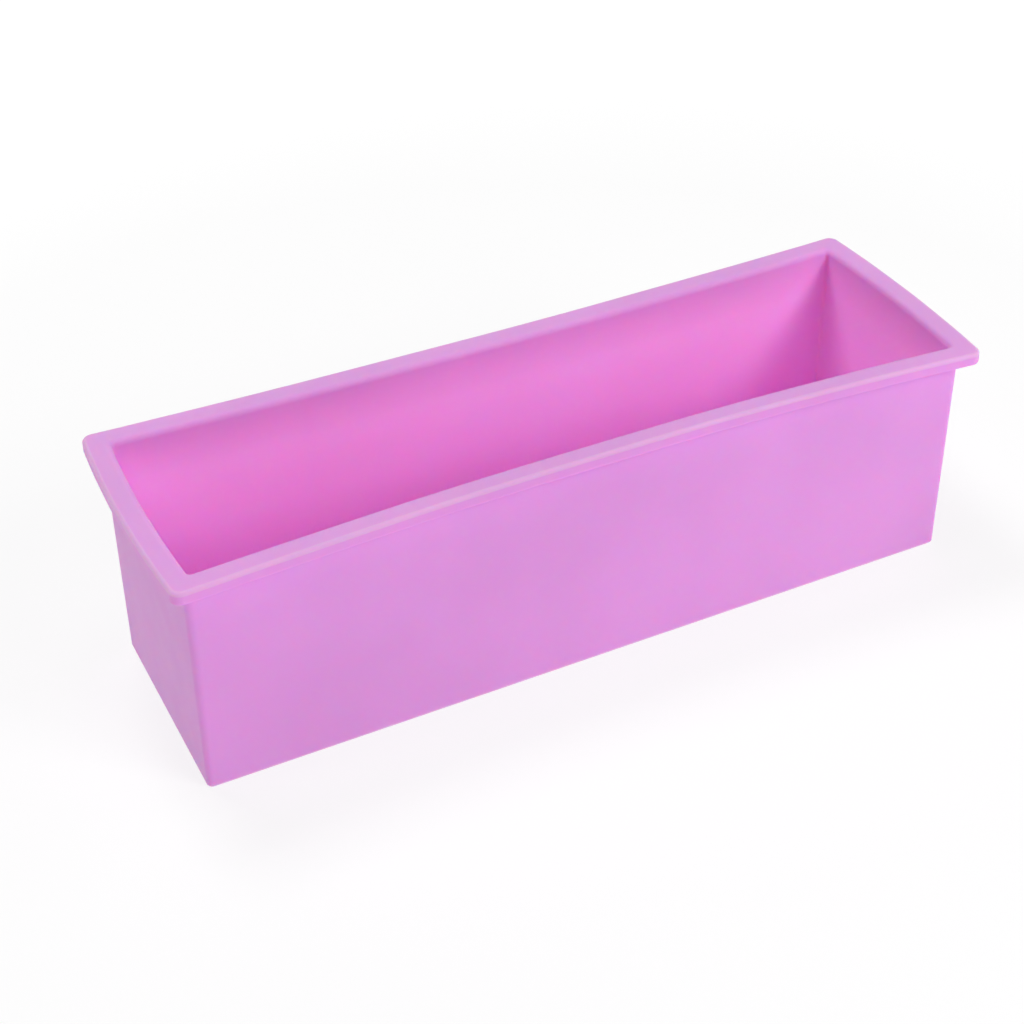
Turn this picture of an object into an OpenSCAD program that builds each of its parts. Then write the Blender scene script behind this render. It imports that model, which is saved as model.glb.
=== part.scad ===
// Flexible soap loaf mould: an open trough moulded in one piece, with a flat
// flange round its rim. Z = 0 is the face that it stands on, and the X and Y
// axes pass through the middle of its floor. X runs along the loaf.

/* [Overall size] */
// Length over the rim flange
overall_length = 280; // [200:1:340]
// Width over the rim flange
overall_width = 88; // [60:1:140]
// Height from the resting face to the top of the rim
overall_height = 81; // [45:1:120]

/* [Walls] */
// Thickness of the side walls
wall = 2.8; // [2:0.1:5]
// Thickness of the floor
floor_thickness = 3; // [2:0.1:8]
// How far each wall leans in from the rim to the floor
draft = 0.4; // [0:0.1:0.8]

/* [Rim flange] */
// How far the flange stands out from the walls
flange_overhang = 5.2; // [3:0.1:15]
// Thickness of the flange
flange_thickness = 4.3; // [2:0.1:8]
// Radius of the flange's corners, seen from above
flange_corner = 3.5; // [1.5:0.5:12]

/* [Corners and edges] */
// Radius of the cavity's upright corners at the rim
cavity_corner = 1.2; // [1:0.1:8]
// Radius where the cavity's walls meet its floor
floor_fillet = 0.8; // [0.2:0.1:4]
// Radius of the lip between the rim and the cavity
lip_radius = 2; // [0.2:0.1:2.8]
// Radius of the flange's upper outer edge
flange_top_radius = 1; // [0.2:0.1:1.4]
// Radius of the flange's lower outer edge
flange_bottom_radius = 0.5; // [0.1:0.1:0.5]
// Radius in the angle between the wall and the flange
flange_fillet = 0.8; // [0.2:0.1:2]
// Radius of the edge round the resting face
foot_radius = 0.8; // [0.2:0.1:2.4]

/* [Hidden] */
$fn = 64;

// The flange
flange_underside = overall_height - flange_thickness;

// The cavity's opening at the rim
opening_length = overall_length - 2 * (flange_overhang + wall);
opening_width = overall_width - 2 * (flange_overhang + wall);

// The lip is no rounder than the wall is thick, and the flange starts inside
// the wall, halfway between the lip and the wall's outer face
lip = min(lip_radius, wall);
flange_start = (lip + wall) / 2;

// Distances out from the axes of the cavity's upright corners
outer_at_rim = cavity_corner + wall;
inner_at_floor = cavity_corner - draft;
outer_at_foot = outer_at_rim - draft;

// The floor's fillet ends at the axis of the corner
floor_round = min(floor_fillet, inner_at_floor);

// The material between a square corner at the origin and a round one that
// touches both of the corner's sides.
module corner_web(radius) {
    difference() {
        square(radius);
        translate([radius, radius]) circle(radius);
    }
}

// Carries a section round a rectangle with round corners. The section's x is
// the distance out from the corners' axes, and its y is the height. The
// rectangle's size is measured at the section's x = reach.
module carry_round(length, width, reach) {
    run_x = length - 2 * reach;
    run_y = width - 2 * reach;
    for (turn = [0:3]) {
        out = turn % 2 == 0 ? run_x : run_y;
        along = turn % 2 == 0 ? run_y : run_x;
        rotate([0, 0, 90 * turn]) {
            translate([out / 2, 0, 0])
                rotate([90, 0, 0])
                    linear_extrude(height = along, center = true) children();
            translate([out / 2, along / 2, 0])
                rotate_extrude(angle = 90) children();
        }
    }
}

// Fills the space between the corners' axes that carry_round leaves open.
module core(length, width, reach, low, high) {
    translate([reach - length / 2, reach - width / 2, low])
        cube([length - 2 * reach, width - 2 * reach, high - low]);
}

// Section of the wall and the edge of the floor. The walls are upright where
// a radius meets them and lean in by the draft in between.
module wall_section() {
    difference() {
        polygon([
            [0, 0],
            [outer_at_foot, 0],
            [outer_at_foot, foot_radius],
            [outer_at_rim, flange_underside - flange_fillet],
            [outer_at_rim, overall_height],
            [cavity_corner, overall_height],
            [cavity_corner, overall_height - lip],
            [inner_at_floor, floor_thickness + floor_round],
            [inner_at_floor, floor_thickness],
            [0, floor_thickness]
        ]);
        translate([outer_at_foot, 0]) mirror([1, 0]) corner_web(foot_radius);
        translate([cavity_corner, overall_height]) mirror([0, 1]) corner_web(lip);
    }
    translate([inner_at_floor, floor_thickness]) mirror([1, 0]) corner_web(floor_round);
    translate([outer_at_rim, flange_underside]) mirror([0, 1]) corner_web(flange_fillet);
}

// Section of the flange's outer edge.
module flange_section() {
    difference() {
        translate([0, flange_underside]) square([flange_corner, flange_thickness]);
        translate([flange_corner, overall_height]) rotate(180) corner_web(flange_top_radius);
        translate([flange_corner, flange_underside]) mirror([1, 0]) corner_web(flange_bottom_radius);
    }
}

// The trough: floor and four walls.
module trough() {
    carry_round(opening_length, opening_width, cavity_corner) wall_section();
    core(opening_length, opening_width, cavity_corner, 0, floor_thickness);
}

// The flange, which starts inside the thickness of the wall.
module flange() {
    open_length = opening_length + 2 * flange_start;
    open_width = opening_width + 2 * flange_start;
    open_corner = cavity_corner + flange_start;
    below = flange_underside - flange_thickness;
    above = overall_height + flange_thickness;
    difference() {
        union() {
            carry_round(overall_length, overall_width, flange_corner) flange_section();
            core(overall_length, overall_width, flange_corner, flange_underside, overall_height);
        }
        carry_round(open_length, open_width, open_corner)
            translate([0, below]) square([open_corner, above - below]);
        core(open_length, open_width, open_corner, below, above);
    }
}

// The whole mould is one piece of moulded rubber.
module loaf_mould() {
    color("plum") {
        trough();
        flange();
    }
}

loaf_mould();
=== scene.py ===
"""Visual model of a flexible soap loaf mould, with its floor, lights and camera.

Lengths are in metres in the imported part's frame: X runs along the loaf, Y
across it and Z up, with the origin in the middle of the resting face.
"""

import logging
import math
from dataclasses import dataclass, field
from enum import Enum

import bmesh
import bpy
import numpy as np
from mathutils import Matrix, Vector


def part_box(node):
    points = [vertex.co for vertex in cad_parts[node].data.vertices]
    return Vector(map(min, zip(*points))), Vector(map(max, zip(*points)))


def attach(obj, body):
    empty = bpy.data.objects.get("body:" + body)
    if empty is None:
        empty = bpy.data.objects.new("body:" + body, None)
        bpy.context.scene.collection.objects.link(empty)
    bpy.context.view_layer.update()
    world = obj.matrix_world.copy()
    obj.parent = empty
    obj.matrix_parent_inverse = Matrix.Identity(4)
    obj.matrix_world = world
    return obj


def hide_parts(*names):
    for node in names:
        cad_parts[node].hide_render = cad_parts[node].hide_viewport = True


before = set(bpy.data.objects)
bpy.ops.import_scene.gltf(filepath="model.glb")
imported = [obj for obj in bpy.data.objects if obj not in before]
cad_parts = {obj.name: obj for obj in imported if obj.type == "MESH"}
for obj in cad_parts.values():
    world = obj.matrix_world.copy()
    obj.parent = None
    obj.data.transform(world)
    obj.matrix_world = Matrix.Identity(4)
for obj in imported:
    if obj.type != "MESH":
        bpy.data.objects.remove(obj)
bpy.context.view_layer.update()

LOG = logging.getLogger("loaf_mould")
MM = 0.001
HOLD = 0.4 * MM
MERGE_REACH = 0.001 * MM
ARC_STEPS = 10
MOULD_NODE = "loaf_mould"
ROOT_BODY = "root"

Pair = tuple[float, float]
Colour = tuple[float, float, float]
Station = tuple[float, float, float]
Input = bpy.types.NodeSocket | float | Colour


def direction(azimuth: float, elevation: float) -> Vector:
    """Works out the unit vector towards a place round the mould.

    Args:
        azimuth: Angle round Z in degrees, 0 in front, growing to the right.
        elevation: Angle over the floor in degrees.

    Returns:
        The unit vector.
    """
    turn, tilt = math.radians(azimuth), math.radians(elevation)
    return Vector((math.sin(turn) * math.cos(tilt), -math.cos(turn) * math.cos(tilt), math.sin(tilt)))


def even_shares(steps: int, size: float) -> np.ndarray:
    """Works out shares from -1 to 1 in even steps, with a close one next to each end.

    The close ones keep the shading of a flat face flat up to its corners.

    Args:
        steps: Number of even steps.
        size: Full length that the shares stand for.

    Returns:
        The shares, rising.
    """
    close = 1 - HOLD / (size / 2)
    return np.concatenate([[-1, -close], np.linspace(-1, 1, steps + 1)[1:-1], [close, 1]])


class Wall(Enum):
    """The four walls, each as its axis (0 for X, 1 for Y) and its side."""

    LEFT = (0, -1)
    RIGHT = (0, 1)
    FRONT = (1, -1)
    BACK = (1, 1)


@dataclass(frozen=True)
class Zone:
    """How a place on the section is dressed, as weights from 0 to 1: the share of painted bounce light, and
    the share of the lighter edge colour, which is partly wear and partly painted highlight.
    """

    cavity: float = 0.0
    edge: float = 0.0

    def weights(self) -> np.ndarray:
        """Returns the weights in the order of the stations' last columns."""
        return np.array([self.cavity, self.edge])


OUTSIDE = Zone()
# Rounded edges, and the rim top at a third, take the lighter edge colour: partly wear, partly painted
# highlight.
ROUNDED = Zone(edge=1.0)
RIM_TOP = Zone(edge=0.3)
# Painted shade under the lip: only about a third of the inside's painted bounce light, fading to the full
# share down the band.
LIP_PAINTED_SHADE = Zone(cavity=0.35)
# The inside gets the full painted bounce light.
INSIDE = Zone(cavity=1.0)


@dataclass
class Section:
    """A section through wall and flange, as stations from underside to floor.

    Each station has an inset from the outline of the flange, a height, the
    radius of its round corners, and two weights for the finish: painted
    bounce light, and the lighter edge colour of wear and painted highlight.
    """

    rows: list[np.ndarray] = field(default_factory=list)

    def add(
        self,
        inset: np.ndarray | float,
        height: np.ndarray | float,
        corner: np.ndarray | float,
        share: np.ndarray,
        zones: tuple[Zone, Zone],
    ) -> None:
        """Appends stations whose weights run from one zone to another.

        Args:
            inset: Distance in from the outline of the flange.
            height: Height over the resting face.
            corner: Radius of the round corners.
            share: Share of the way from the first zone to the second.
            zones: First and last zone.
        """
        first, last = (zone.weights() for zone in zones)
        weights = first + (last - first) * share[:, None]
        shape = [np.broadcast_to(values, share.shape) for values in (inset, height, corner)]
        self.rows.append(np.concatenate([np.stack(shape, axis=1), weights], axis=1))

    def line(self, start: Station, end: Station, steps: int, *zones: Zone) -> None:
        """Appends a straight stretch with a close station next to each end.

        Each value runs as start plus t times the difference, with t from 0 to 1.
        The close stations keep the shading of the flat stretch flat, and are at
        most a quarter of the way along it.

        Args:
            start: Inset, height and corner radius at the start.
            end: Inset, height and corner radius at the end.
            steps: Number of even steps.
            zones: The zone, or the first and the last.
        """
        hold = HOLD / max(math.dist(start[:2], end[:2]), 4 * HOLD)
        t = np.concatenate([[hold], np.linspace(0, 1, steps + 1)[1:-1], [1 - hold]])
        values = [a + (b - a) * t for a, b in zip(start, end)]
        self.add(*values, t, (zones[0], zones[-1]))

    def arc(self, centre: Pair, radius: float, turn: Pair, corner: Pair, *zones: Zone) -> None:
        """Appends a round stretch.

        Inset is the centre's plus radius times the cosine of the angle, height
        is the centre's plus radius times the sine, and the corner's radius
        runs with the inset from its first value to its last. The weights run
        with the square of the way along, so that the change comes late.

        Args:
            centre: Inset and height of the centre.
            radius: Radius of the arc.
            turn: First and last angle in degrees, 0 pointing in towards the hollow.
            corner: First and last radius of the round corners.
            zones: The zone, or the first and the last.
        """
        t = np.linspace(0, 1, ARC_STEPS + 1)
        angle = np.radians(turn[0] + (turn[1] - turn[0]) * t)
        inset = centre[0] + radius * np.cos(angle)
        share = (inset - inset[0]) / (inset[-1] - inset[0])
        radii = corner[0] + (corner[1] - corner[0]) * share
        self.add(inset, centre[1] + radius * np.sin(angle), radii, t**2, (zones[0], zones[-1]))

    def stations(self) -> np.ndarray:
        """Returns all stations as rows of inset, height, corner, painted bounce-light weight, edge weight.
        """
        return np.concatenate(self.rows)


@dataclass(frozen=True)
class MouldSizes:
    """Sizes of the mould. The three overall ones come from the CAD node."""

    length: float
    width: float
    height: float
    wall: float = 2.8 * MM
    floor: float = 3.0 * MM
    draft: float = 0.4 * MM
    overhang: float = 5.2 * MM
    flange: float = 4.3 * MM
    flange_corner: float = 3.5 * MM
    cavity_corner: float = 1.2 * MM
    outer_corner: float = 2.4 * MM
    floor_fillet: float = 0.8 * MM
    lip: float = 2.0 * MM
    flange_top: float = 1.0 * MM
    flange_bottom: float = 0.5 * MM
    flange_fillet: float = 0.8 * MM
    foot: float = 0.8 * MM
    # Length of the band of painted shade under the lip.
    lip_shade_band: float = 14.0 * MM

    @classmethod
    def from_node(cls, node: str) -> "MouldSizes":
        """Takes the overall sizes from the box of a CAD node.

        Args:
            node: Name of the CAD node.

        Returns:
            The sizes of the mould.
        """
        low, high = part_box(node)
        return cls(*(high - low))

    @property
    def opening_inset(self) -> float:
        """Inset of the opening from the outline of the flange."""
        return self.overhang + self.wall

    @property
    def opening_half(self) -> np.ndarray:
        """Half the opening's length and width at the rim."""
        return np.array([self.length, self.width]) / 2 - self.opening_inset


@dataclass(frozen=True)
class Lean:
    """How far the middle of one wall's top edge has moved out, and its skew."""

    out: float
    skew: float = 0.0


@dataclass(frozen=True)
class SoftSet:
    """The set that the soft walls have taken: long ones in, end ones out.

    The flange turns with its wall from flange_grip times the opening's half size
    outwards.
    """

    sizes: MouldSizes
    leans: dict[Wall, Lean]
    power: float = 1.2
    ripple: float = 0.12 * MM
    ripple_waves: float = 2.5
    flange_grip: float = 0.9

    @staticmethod
    def along(share: np.ndarray) -> np.ndarray:
        """Share of the lean along a wall.

        One minus the square of the distance from the middle, as a share of the
        half length. Past the wall's ends it goes on in a straight line, so the
        corners turn and stay square.

        Args:
            share: Distance from the middle over half the wall's length.

        Returns:
            The share of the lean, 1 in the middle and 0 at the ends.
        """
        size = np.abs(share)
        return np.where(size <= 1, 1 - share**2, 2 * (1 - size))

    def apply(self, points: np.ndarray) -> np.ndarray:
        """Leans each wall about its foot and turns the flange with it.

        A point moves along the wall's normal by lean times its share along the
        wall times the height ratio to a power. It also drops by that motion's
        slope in height times its distance out from the middle of the wall.

        Args:
            points: Straight shape, one point a row.

        Returns:
            The leaning shape.
        """
        moved = points.copy()
        top = self.sizes.height
        rise = np.clip(points[:, 2] / top, 0, None)
        half = self.sizes.opening_half
        for wall, lean in self.leans.items():
            axis, side = wall.value
            across = points[:, axis] * side
            share = points[:, 1 - axis] / half[1 - axis]
            near = np.clip(across / half[axis], 0, 1)
            swell = lean.out * self.along(share) * (1 + lean.skew * np.clip(share, -1, 1))
            ripple = self.ripple * half[1 - axis] / half.max()
            wave = ripple * np.sin(math.pi * self.ripple_waves * (share + 1) + axis + side)
            swell = swell + wave * np.clip(1 - share**2, 0, 1)
            moved[:, axis] += side * near * swell * rise**self.power
            slope = self.power * swell / top * rise ** (self.power - 1)
            middle = half[axis] + self.sizes.wall / 2
            grip = np.clip((near - self.flange_grip) / (1 - self.flange_grip), 0, 1)
            moved[:, 2] -= grip * slope * (across - middle)
        return moved


@dataclass(frozen=True)
class Texture:
    """One layer of noise: waves a metre, octaves, and the part of its range in use."""

    scale: float
    detail: float
    used: Pair = (0.3, 0.7)


@dataclass(frozen=True)
class Relief:
    """How strongly and how high one layer of noise stands in the bump."""

    strength: float
    height: float


@dataclass(frozen=True)
class SiliconeFinish:
    """Pigmented moulding silicone: matt, slightly translucent, softly dusty; its inside is painted with
    bounce light, it has painted shade under the lip, and its edges are lighter from wear and painted
    highlight.
    """

    name: str
    tone: Colour = (0.745, 0.327, 0.765)
    # Painted bounce light: a brighter, more saturated copy of the tone that colours the inside of the
    # cavity.
    cavity: Colour = (0.985, 0.46, 0.9)
    # Lighter edge colour: partly wear, partly painted highlight on the rounded edges and the rim top.
    wear_and_highlight: Colour = (0.74, 0.435, 0.75)
    shine: float = 0.2
    clouds: Pair = (0.97, 1.03)
    roughness: Pair = (0.44, 0.56)
    refraction: float = 1.41
    scatter: float = 1.0
    scatter_reach: float = 3.0 * MM
    scatter_share: Colour = (1.0, 0.2, 0.35)
    cloud: Texture = Texture(scale=14.0, detail=3.0, used=(0.35, 0.65))
    grain: Texture = Texture(scale=1400.0, detail=2.0)
    sheen: Texture = Texture(scale=60.0, detail=4.0)
    grain_relief: Relief = Relief(strength=0.25, height=0.05 * MM)
    sheen_relief: Relief = Relief(strength=0.3, height=0.08 * MM)

    def build(self) -> bpy.types.Material:
        """Builds the material.

        Returns:
            A node material on Object coordinates and the mesh's own weights.
        """
        material = bpy.data.materials.new(self.name)
        material.use_nodes = True
        tree = material.node_tree
        tree.nodes.clear()
        kit = NodeKit(tree)
        shader = kit.add("ShaderNodeBsdfPrincipled")
        output = kit.add("ShaderNodeOutputMaterial")
        tree.links.new(shader.outputs["BSDF"], output.inputs["Surface"])
        place = kit.add("ShaderNodeTexCoord").outputs["Object"]
        cloud, grain, sheen = [kit.noise(place, layer) for layer in (self.cloud, self.grain, self.sheen)]
        # Painted bounce light: inside the cavity the tone turns into its brighter, more saturated copy.
        body = kit.mix(kit.attribute("cavity"), self.tone, self.cavity)
        # Lighter edges and rim top: partly wear, partly painted highlight.
        body = kit.mix(kit.attribute("edge"), body, self.wear_and_highlight)
        body = kit.shade(body, kit.spread(cloud, *self.cloud.used, *self.clouds))
        tree.links.new(body, shader.inputs["Base Color"])
        matt = kit.spread(sheen, *self.sheen.used, *self.roughness)
        tree.links.new(matt, shader.inputs["Roughness"])
        bump = kit.bump(grain, self.grain_relief)
        bump = kit.bump(sheen, self.sheen_relief, normal=bump)
        tree.links.new(bump, shader.inputs["Normal"])
        shader.inputs["IOR"].default_value = self.refraction
        shader.inputs["Specular IOR Level"].default_value = self.shine
        shader.inputs["Subsurface Weight"].default_value = self.scatter
        shader.inputs["Subsurface Radius"].default_value = self.scatter_share
        shader.inputs["Subsurface Scale"].default_value = self.scatter_reach
        return material


@dataclass
class NodeKit:
    """Makes and links shader nodes in one tree."""

    tree: bpy.types.NodeTree

    def add(self, kind: str, **settings: object) -> bpy.types.Node:
        """Adds a node.

        Args:
            kind: Blender's name for the kind of node.
            settings: Properties to set on it.

        Returns:
            The node.
        """
        node = self.tree.nodes.new(kind)
        for key, value in settings.items():
            setattr(node, key, value)
        return node

    def put(self, socket: bpy.types.NodeSocket, value: Input) -> None:
        """Links a socket, or sets a constant on it.

        Args:
            socket: The input.
            value: An output socket, a number or a colour.
        """
        if isinstance(value, bpy.types.NodeSocket):
            self.tree.links.new(value, socket)
        elif isinstance(value, tuple):
            socket.default_value = (*value, 1.0)
        else:
            socket.default_value = value

    def noise(self, place: bpy.types.NodeSocket, layer: Texture) -> bpy.types.NodeSocket:
        """Adds fractal noise.

        Args:
            place: The place that it is read at.
            layer: Its scale and detail.

        Returns:
            The noise.
        """
        node = self.add("ShaderNodeTexNoise")
        self.put(node.inputs["Vector"], place)
        self.put(node.inputs["Scale"], layer.scale)
        self.put(node.inputs["Detail"], layer.detail)
        return node.outputs["Fac"]

    def spread(
        self,
        value: bpy.types.NodeSocket,
        low: float,
        high: float,
        to_low: float = 0.0,
        to_high: float = 1.0,
    ) -> bpy.types.NodeSocket:
        """Stretches a value from one range to another and stops at its ends.

        Args:
            value: The value.
            low: Value that becomes to_low.
            high: Value that becomes to_high.
            to_low: Low end of the new range.
            to_high: High end of the new range.

        Returns:
            The stretched value.
        """
        node = self.add("ShaderNodeMapRange")
        ends = {"Value": value, "From Min": low, "From Max": high, "To Min": to_low, "To Max": to_high}
        for key, item in ends.items():
            self.put(node.inputs[key], item)
        return node.outputs["Result"]

    def mix(self, share: Input, first: Input, second: Input) -> bpy.types.NodeSocket:
        """Returns the mix of two colours, all of the second where share is 1."""
        return self.blend("MIX", share, first, second)

    def shade(self, colour: bpy.types.NodeSocket, factor: bpy.types.NodeSocket) -> bpy.types.NodeSocket:
        """Returns a colour times a factor."""
        return self.blend("MULTIPLY", 1.0, colour, factor)

    def blend(self, way: str, share: Input, first: Input, second: Input) -> bpy.types.NodeSocket:
        """Blends two colours.

        Args:
            way: Blender's name for the blend.
            share: Share of the blend that shows.
            first: Colour below.
            second: Colour on top.

        Returns:
            The blended colour.
        """
        node = self.add("ShaderNodeMix", data_type="RGBA", blend_type=way)
        below, above = [socket for socket in node.inputs if socket.type == "RGBA"]
        self.put(node.inputs["Factor"], share)
        self.put(below, first)
        self.put(above, second)
        return next(socket for socket in node.outputs if socket.type == "RGBA")

    def attribute(self, name: str) -> bpy.types.NodeSocket:
        """Returns one of the mesh's own weights."""
        return self.add("ShaderNodeAttribute", attribute_name=name).outputs["Fac"]

    def bump(
        self, height: bpy.types.NodeSocket, relief: Relief, normal: bpy.types.NodeSocket | None = None
    ) -> bpy.types.NodeSocket:
        """Bends the normal by a height.

        Args:
            height: The height, from 0 to 1.
            relief: How strongly and how high it stands.
            normal: A normal that is bent already, if there is one.

        Returns:
            The bent normal.
        """
        node = self.add("ShaderNodeBump")
        self.put(node.inputs["Height"], height)
        self.put(node.inputs["Strength"], relief.strength)
        self.put(node.inputs["Distance"], relief.height)
        if normal is not None:
            self.put(node.inputs["Normal"], normal)
        return node.outputs["Normal"]


@dataclass
class LoafMould:
    """The mould: trough and flange as one closed skin."""

    sizes: MouldSizes
    soft_set: SoftSet
    finish: SiliconeFinish
    name: str = "loaf_mould_skin"
    long_steps: int = 96
    short_steps: int = 30
    corner_steps: int = 10
    wall_steps: int = 26
    band_steps: int = 8
    ledge_steps: int = 3
    rim_steps: int = 5

    def section(self) -> np.ndarray:
        """Works out the section from the underside, up and over, to the floor.

        Returns:
            Rows of inset, height, corner radius, painted bounce-light weight, edge weight.
        """
        s = self.sizes
        outer = s.outer_corner
        foot_corner = outer - s.draft
        foot_inset = s.overhang + s.draft
        under = s.height - s.flange
        floor_corner = s.cavity_corner - s.draft
        floor_inset = s.opening_inset + s.draft
        section = Section()
        start = (foot_inset + foot_corner, 0.0, 0.0)
        section.add(*start, np.zeros(1), (OUTSIDE, OUTSIDE))
        section.line(
            start, (foot_inset + s.foot, 0.0, foot_corner - s.foot), self.ledge_steps, OUTSIDE
        )
        section.arc(
            (foot_inset + s.foot, s.foot), s.foot, (-90, -180), (foot_corner - s.foot, foot_corner), ROUNDED
        )
        section.line(
            (foot_inset, s.foot, foot_corner),
            (s.overhang, under - s.flange_fillet, outer),
            self.wall_steps,
            OUTSIDE,
        )
        section.arc(
            (s.overhang - s.flange_fillet, under - s.flange_fillet),
            s.flange_fillet,
            (0, 90),
            (outer, outer + s.flange_fillet),
            OUTSIDE,
        )
        section.line(
            (s.overhang - s.flange_fillet, under, outer + s.flange_fillet),
            (s.flange_bottom, under, s.flange_corner - s.flange_bottom),
            self.ledge_steps,
            OUTSIDE,
        )
        section.arc(
            (s.flange_bottom, under + s.flange_bottom),
            s.flange_bottom,
            (-90, -180),
            (s.flange_corner - s.flange_bottom, s.flange_corner),
            OUTSIDE,
        )
        section.line(
            (0.0, under + s.flange_bottom, s.flange_corner),
            (0.0, s.height - s.flange_top, s.flange_corner),
            self.ledge_steps,
            OUTSIDE,
        )
        section.arc(
            (s.flange_top, s.height - s.flange_top),
            s.flange_top,
            (180, 90),
            (s.flange_corner, s.flange_corner - s.flange_top),
            ROUNDED,
        )
        section.line(
            (s.flange_top, s.height, s.flange_corner - s.flange_top),
            (s.opening_inset - s.lip, s.height, s.cavity_corner + s.lip),
            self.rim_steps,
            RIM_TOP,
        )
        section.arc(
            (s.opening_inset - s.lip, s.height - s.lip),
            s.lip,
            (90, 0),
            (s.cavity_corner + s.lip, s.cavity_corner),
            RIM_TOP,
            LIP_PAINTED_SHADE,
        )
        # Painted shade: the band under the lip runs from a small share of the painted bounce light to the
        # full share.
        lip_end = (s.opening_inset, s.height - s.lip, s.cavity_corner)
        floor_end = (floor_inset, s.floor + s.floor_fillet, floor_corner)
        share = s.lip_shade_band / (lip_end[1] - floor_end[1])
        band_end = tuple(a + (b - a) * share for a, b in zip(lip_end, floor_end))
        section.line(lip_end, band_end, self.band_steps, LIP_PAINTED_SHADE, INSIDE)
        section.line(band_end, floor_end, self.wall_steps, INSIDE)
        section.arc(
            (floor_inset + s.floor_fillet, s.floor + s.floor_fillet),
            s.floor_fillet,
            (180, 270),
            (floor_corner, floor_corner - s.floor_fillet),
            INSIDE,
        )
        return section.stations()

    def outline(self) -> tuple[np.ndarray, np.ndarray]:
        """Works out one turn of the outline, counter-clockwise from above.

        A point on a station is corner axis times the half size less the corner
        radius, plus direction times the corner radius.

        Returns:
            The share of the corner axes and the direction, one row a point.
        """
        axes, ways = [], []
        for quarter in range(4):
            steps = self.short_steps if quarter % 2 == 0 else self.long_steps
            turn = quarter * math.pi / 2
            way = np.array([math.cos(turn), math.sin(turn)]).round()
            side = np.array([-way[1], way[0]])
            size = self.sizes.length if quarter % 2 else self.sizes.width
            share = even_shares(steps, size)
            axes.append(way + share[:, None] * side)
            ways.append(np.tile(way, (len(share), 1)))
            angle = turn + np.linspace(0, math.pi / 2, self.corner_steps + 1)[1:-1]
            axes.append(np.tile(way + side, (len(angle), 1)))
            ways.append(np.stack([np.cos(angle), np.sin(angle)], axis=1))
        return np.concatenate(axes), np.concatenate(ways)

    def skin(self) -> tuple[np.ndarray, np.ndarray, np.ndarray]:
        """Carries the section round the outline and closes both floors.

        Returns:
            Points, faces as rows of four point numbers, and two weights a point.
        """
        rows = self.section()
        axes, ways = self.outline()
        half = np.array([self.sizes.length, self.sizes.width]) / 2
        inner = half - rows[:, None, 0:1] - rows[:, None, 2:3]
        flat = axes * inner + ways * rows[:, None, 2:3]
        height = np.broadcast_to(rows[:, None, 1:2], (*flat.shape[:2], 1))
        points = np.concatenate([flat, height], axis=2).reshape(-1, 3)
        weights = np.repeat(rows[:, 3:5], len(axes), axis=0)
        count, turn = len(rows), len(axes)
        ring = np.arange(count * turn).reshape(count, turn)
        nxt = np.roll(ring, -1, axis=1)
        faces = [np.stack([ring[:-1], nxt[:-1], nxt[1:], ring[1:]], axis=-1).reshape(-1, 4)]
        for row, upward in ((rows[0], False), (rows[-1], True)):
            patch, quads = self.floor_patch(row, upward)
            faces.append(quads + len(points))
            points = np.concatenate([points, patch])
            weights = np.concatenate([weights, np.tile(row[3:5], (len(patch), 1))])
        return points, np.concatenate(faces), weights

    def floor_patch(self, row: np.ndarray, upward: bool) -> tuple[np.ndarray, np.ndarray]:
        """Works out the flat grid between the corner axes of one station.

        Args:
            row: The station, whose corner radius is 0.
            upward: Whether the grid faces up.

        Returns:
            Points, and faces as rows of four point numbers.
        """
        half = np.array([self.sizes.length, self.sizes.width]) / 2 - row[0]
        along = even_shares(self.long_steps, self.sizes.length) * half[0]
        across = even_shares(self.short_steps, self.sizes.width) * half[1]
        x, y = np.meshgrid(along, across, indexing="ij")
        points = np.stack([x, y, np.full(x.shape, row[1])], axis=-1).reshape(-1, 3)
        grid = np.arange(x.size).reshape(x.shape)
        sides = [grid[:-1, :-1], grid[1:, :-1], grid[1:, 1:], grid[:-1, 1:]]
        quads = np.stack(sides, axis=-1).reshape(-1, 4)
        return points, quads if upward else quads[:, ::-1]

    def build(self) -> bpy.types.Object:
        """Builds the skin as one object and dresses it.

        Returns:
            The finished piece.
        """
        points, faces, weights = self.skin()
        points = self.soft_set.apply(points)
        mesh = bpy.data.meshes.new(self.name)
        mesh.from_pydata(points.tolist(), [], faces.tolist())
        # The weights become mesh attributes: painted bounce light, and the lighter edge colour of wear and
        # painted highlight.
        for name, values in zip(("cavity", "edge"), weights.T):
            layer = mesh.attributes.new(name, "FLOAT", "POINT")
            layer.data.foreach_set("value", np.ascontiguousarray(values, dtype=np.float32))
        self.weld(mesh)
        mesh.polygons.foreach_set("use_smooth", [True] * len(mesh.polygons))
        piece = bpy.data.objects.new(self.name, mesh)
        bpy.context.scene.collection.objects.link(piece)
        mesh.materials.append(self.finish.build())
        return piece

    @staticmethod
    def weld(mesh: bpy.types.Mesh) -> None:
        """Joins the points that meet at the seams and at the corner axes.

        Args:
            mesh: The mesh, which is changed.
        """
        work = bmesh.new()
        work.from_mesh(mesh)
        bmesh.ops.remove_doubles(work, verts=work.verts, dist=MERGE_REACH)
        bmesh.ops.recalc_face_normals(work, faces=work.faces)
        work.to_mesh(mesh)
        work.free()


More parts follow.
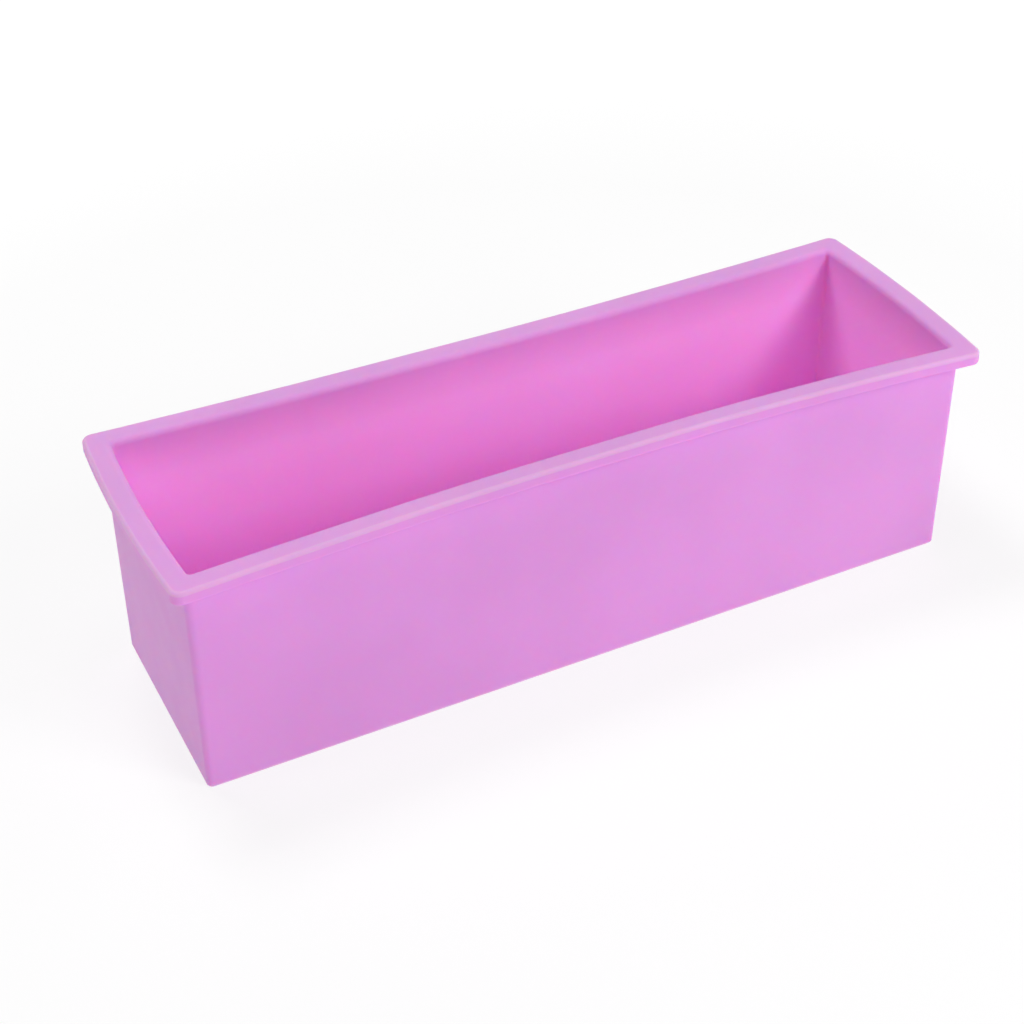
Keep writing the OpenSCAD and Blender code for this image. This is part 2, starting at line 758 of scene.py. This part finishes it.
@dataclass(frozen=True)
class SoftBox:
    """A soft area light that hangs in a direction from the mould."""

    name: str
    azimuth: float
    elevation: float
    power: float
    distance: float = 1.2
    size: float = 0.35

    def build(self, target: Vector) -> bpy.types.Object:
        """Hangs the light and turns it to the target.

        Args:
            target: The point that it lights.

        Returns:
            The light.
        """
        back = direction(self.azimuth, self.elevation)
        data = bpy.data.lights.new(self.name, "AREA")
        data.shape = "SQUARE"
        data.size = self.size
        data.energy = self.power
        light = bpy.data.objects.new(self.name, data)
        light.location = target + back * self.distance
        light.rotation_mode = "QUATERNION"
        light.rotation_quaternion = (-back).to_track_quat("-Z", "Y")
        bpy.context.scene.collection.objects.link(light)
        return light


@dataclass(frozen=True)
class Studio:
    """A pale floor, soft boxes, an even sky and the camera."""

    sky: float = 0.9
    floor_size: float = 12.0
    floor_tone: Colour = (0.2, 0.2, 0.2)
    floor_roughness: float = 0.9
    floor_glow: Pair = (0.78, 0.95)
    glow_span: Pair = (0.3, 0.8)
    azimuth: float = -27.19
    elevation: float = 34.17
    distance: float = 674.6 * MM
    aim: tuple[float, float, float] = (4.7 * MM, 13.0 * MM, 60.6 * MM)
    lens: float = 71.75
    sensor: float = 36.0
    shift: Pair = (-0.0273, -0.0886)
    boxes: tuple[SoftBox, ...] = (
        SoftBox("key_box", 35.0, 35.0, 4.2),
        SoftBox("front_box", 20.0, 25.0, 2.8),
        SoftBox("fill_box", -25.0, 40.0, 1.5),
        SoftBox("side_box", -95.0, 20.0, 1.8),
        SoftBox("top_box", 0.0, 85.0, 1.3),
        SoftBox("back_box", -155.0, 68.0, 6.3),
        SoftBox("right_box", 90.0, 20.0, 1.7),
        SoftBox("rear_box", 180.0, 30.0, 1.0),
    )

    def build(self, target: Vector) -> None:
        """Builds floor, sky, lights and camera.

        Args:
            target: The middle of the mould.
        """
        self.lay_floor()
        self.light_sky()
        for box in self.boxes:
            box.build(target)
        self.set_camera()
        bpy.context.scene.view_settings.view_transform = "Standard"

    def lay_floor(self) -> bpy.types.Object:
        """Lays the pale floor, whose glow grows from the mould outwards.

        Returns:
            The floor.
        """
        half = self.floor_size / 2
        corners = [(-half, -half, 0), (half, -half, 0), (half, half, 0), (-half, half, 0)]
        mesh = bpy.data.meshes.new("floor")
        mesh.from_pydata(corners, [], [(0, 1, 2, 3)])
        material = bpy.data.materials.new("pale_floor")
        material.use_nodes = True
        shader = material.node_tree.nodes["Principled BSDF"]
        shader.inputs["Base Color"].default_value = (*self.floor_tone, 1.0)
        shader.inputs["Roughness"].default_value = self.floor_roughness
        shader.inputs["Emission Color"].default_value = (1.0, 1.0, 1.0, 1.0)
        kit = NodeKit(material.node_tree)
        place = kit.add("ShaderNodeTexCoord").outputs["Object"]
        reach = kit.add("ShaderNodeVectorMath", operation="LENGTH")
        kit.put(reach.inputs[0], place)
        glow = kit.spread(reach.outputs["Value"], *self.glow_span, *self.floor_glow)
        kit.put(shader.inputs["Emission Strength"], glow)
        mesh.materials.append(material)
        floor = bpy.data.objects.new("floor", mesh)
        bpy.context.scene.collection.objects.link(floor)
        return floor

    def light_sky(self) -> None:
        """Sets an even white sky that shows and reflects but leaves the lighting to the boxes."""
        world = bpy.data.worlds.new("even_sky")
        world.use_nodes = True
        sky = world.node_tree.nodes["Background"]
        sky.inputs["Color"].default_value = (1.0, 1.0, 1.0, 1.0)
        sky.inputs["Strength"].default_value = self.sky
        bpy.context.scene.world = world
        world.cycles_visibility.diffuse = False

    def set_camera(self) -> bpy.types.Object:
        """Stands the camera back from its aim.

        Returns:
            The camera.
        """
        back = direction(self.azimuth, self.elevation)
        data = bpy.data.cameras.new("camera")
        data.lens = self.lens
        data.sensor_width = self.sensor
        data.shift_x, data.shift_y = self.shift
        camera = bpy.data.objects.new("camera", data)
        camera.location = Vector(self.aim) + back * self.distance
        camera.rotation_mode = "QUATERNION"
        camera.rotation_quaternion = (-back).to_track_quat("-Z", "Y")
        bpy.context.scene.collection.objects.link(camera)
        bpy.context.scene.camera = camera
        return camera


def main() -> None:
    """Builds the mould and the studio, and logs each piece."""
    logging.basicConfig(level=logging.INFO, format="%(name)s: %(message)s")
    sizes = MouldSizes.from_node(MOULD_NODE)
    leans = {
        Wall.FRONT: Lean(out=-4.9 * MM, skew=0.1),
        Wall.BACK: Lean(out=-3.0 * MM),
        Wall.LEFT: Lean(out=1.4 * MM),
        Wall.RIGHT: Lean(out=1.4 * MM),
    }
    mould = LoafMould(sizes, SoftSet(sizes, leans), SiliconeFinish("lilac_silicone"))
    piece = mould.build()
    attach(piece, ROOT_BODY)
    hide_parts(MOULD_NODE)
    LOG.info("%s: %d points, %d faces", piece.name, len(piece.data.vertices), len(piece.data.polygons))
    Studio().build(Vector((0.0, 0.0, sizes.height / 2)))


if __name__ == "__main__":
    main()
